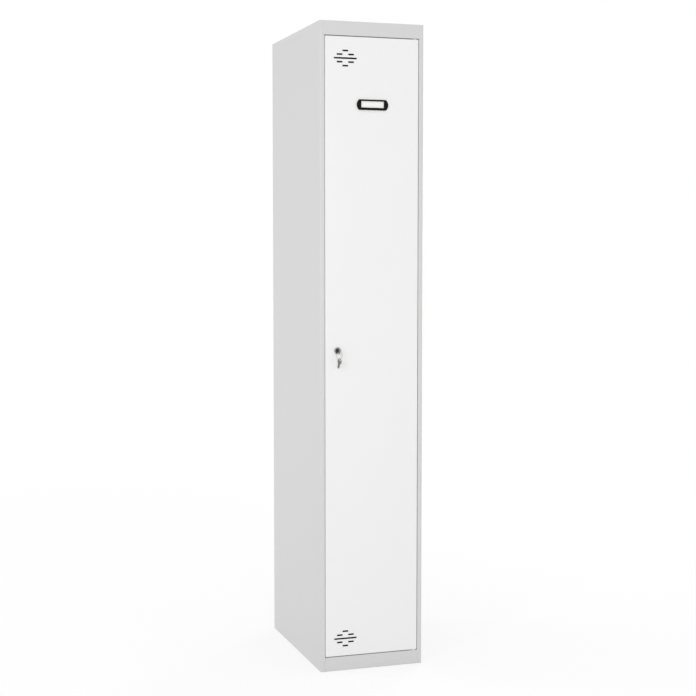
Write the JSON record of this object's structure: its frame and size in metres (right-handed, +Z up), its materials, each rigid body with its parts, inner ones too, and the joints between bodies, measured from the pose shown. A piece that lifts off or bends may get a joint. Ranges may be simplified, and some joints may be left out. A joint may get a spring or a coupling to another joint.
{
  "type": "metal locker",
  "caption": "Tall narrow sheet-metal clothes locker: inset vented door on hidden pivots, cam lock with keys on a ring, label holder, hat shelf and coat rail.",
  "frame": {"origin": "on the floor, in the middle of the width and midway between the end of the key in the lock and the back of the cabinet", "axes": "+X to the right seen from the front, +Y from the front to the back, +Z up"},
  "size_m": [0.3, 0.5275, 1.8],
  "materials": {
    "cabinet_paint": "light grey satin powder coat",
    "door_paint": "white satin powder coat",
    "zinc": "bright zinc plate",
    "rivet_alloy": "plain",
    "chrome": "polished chrome plate",
    "nickel": "nickel plate",
    "dark_nickel": "dark nickel plate",
    "black_plastic": "glossy black",
    "card": "blank white card",
    "rubber": "matt black",
    "nylon": "natural nylon"
  },
  "bodies": {
    "cabinet": {"left_side_panel": "cabinet_paint", "right_side_panel": "cabinet_paint", "back_panel": "cabinet_paint", "back_rivets": "rivet_alloy", "top_panel": "cabinet_paint", "floor_panel": "cabinet_paint", "hat_shelf": "cabinet_paint", "coat_rail": "chrome", "rail_end_caps": "nylon", "rail_brackets": "zinc", "rail_rivets": "rivet_alloy", "lock_keeper": "cabinet_paint", "door_buffers": "rubber", "upper_pivot_pin": "zinc", "lower_pivot_pin": "zinc", "pivot_washer": "nylon"},
    "door": {"door_panel": "door_paint", "door_stiffener": "door_paint", "upper_pivot_plate": "door_paint", "lower_pivot_plate": "door_paint", "upper_pivot_bush": "nylon", "lower_pivot_bush": "nylon", "label_holder": "black_plastic", "label_card": "card", "label_push_nuts": "zinc", "lock_housing": "chrome", "lock_washer": "zinc", "lock_nut": "zinc"},
    "lock_plug": {"lock_plug": "dark_nickel", "lock_cam": "zinc", "cam_screw": "zinc"},
    "key": {"key": "nickel"},
    "key_ring": {"key_ring": "nickel"},
    "spare_key": {"spare_key": "nickel"}
  },
  "joints": [
    {"name": "door_swing", "type": "hinge", "parent": "cabinet", "child": "door", "pos_m": [0.1265, -0.233, 0.9], "axis": [0, 0, 1], "range_deg": [0, 110]},
    {"name": "lock_turn", "type": "hinge", "parent": "door", "child": "lock_plug", "pos_m": [-0.101, -0.2395, 0.9], "axis": [0, 1, 0], "range_deg": [0, 90]},
    {"name": "key_pull", "type": "slide", "parent": "lock_plug", "child": "key", "axis": [0, -1, 0], "range_m": [0, 0.014]},
    {"name": "ring_swing", "type": "hinge", "parent": "key", "child": "key_ring", "pos_m": [-0.101, -0.2565, 0.89595], "axis": [-0.9397, -0.342, 0], "range_deg": [-6, 75]},
    {"name": "spare_key_swing", "type": "hinge", "parent": "key_ring", "child": "spare_key", "pos_m": [-0.101, -0.2565, 0.87725], "axis": [-0.9397, -0.342, 0], "range_deg": [-6, 60]}
  ]
}
